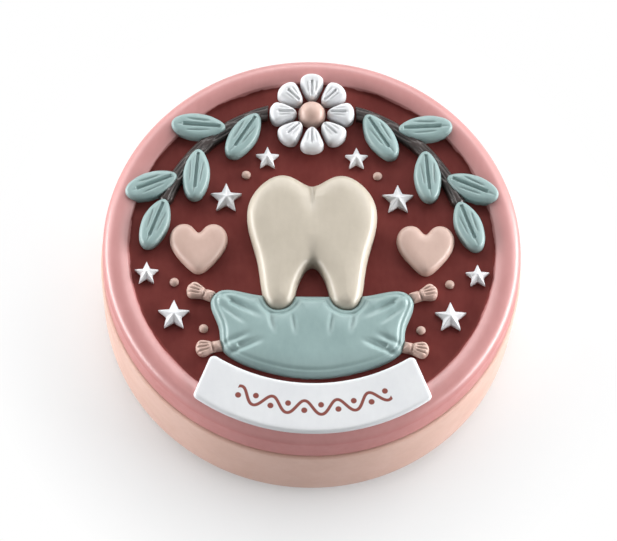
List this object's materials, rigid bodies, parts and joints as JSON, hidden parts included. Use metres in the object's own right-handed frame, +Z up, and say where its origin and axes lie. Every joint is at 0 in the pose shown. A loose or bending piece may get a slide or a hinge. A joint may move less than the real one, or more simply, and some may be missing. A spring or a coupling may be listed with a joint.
{
  "type": "baby tooth box",
  "caption": "Round painted resin keepsake box for milk teeth: a cup with a lift-off lid whose sunk top carries a raised design behind a curved plaque.",
  "frame": {"origin": "centre of the underside, on the axis of the round box", "axes": "+Z up along the axis, -Y towards the plaque at the front, +X to the right seen from the front"},
  "size_m": [0.072, 0.072, 0.0261],
  "materials": {
    "peach_resin": "satin varnish",
    "rose_resin": "satin varnish",
    "white_paint": "satin varnish",
    "cream_paint": "pearly gloss",
    "sage_paint": "satin varnish",
    "beige_paint": "satin varnish",
    "brown_paint": "gloss varnish",
    "felt": "pressed felt"
  },
  "bodies": {
    "cup": {"base_cup": "peach_resin", "liner_felt": "felt", "foot_felt": "felt"},
    "lid": {"lid_shell": "rose_resin", "daisy_button": "beige_paint", "daisy_petals": "white_paint", "dots_left": "beige_paint", "dots_right": "beige_paint", "garland_stem_left": "brown_paint", "garland_stem_right": "brown_paint", "heart_left": "beige_paint", "heart_right": "beige_paint", "leaf_1_left": "sage_paint", "leaf_1_right": "sage_paint", "leaf_2_left": "sage_paint", "leaf_2_right": "sage_paint", "leaf_3_left": "sage_paint", "leaf_3_right": "sage_paint", "leaf_4_left": "sage_paint", "leaf_4_right": "sage_paint", "leaf_5_left": "sage_paint", "leaf_5_right": "sage_paint", "pillow": "sage_paint", "pillow_tassels": "beige_paint", "plaque": "white_paint", "star_1_left": "white_paint", "star_1_right": "white_paint", "star_2_left": "white_paint", "star_2_right": "white_paint", "star_3_left": "white_paint", "star_3_right": "white_paint", "star_4_left": "white_paint", "star_4_right": "white_paint", "tooth": "cream_paint"}
  },
  "joints": [
    {"name": "lid_lift", "type": "slide", "parent": "cup", "child": "lid", "axis": [0, 0, 1], "range_m": [0, 0.045]}
  ]
}
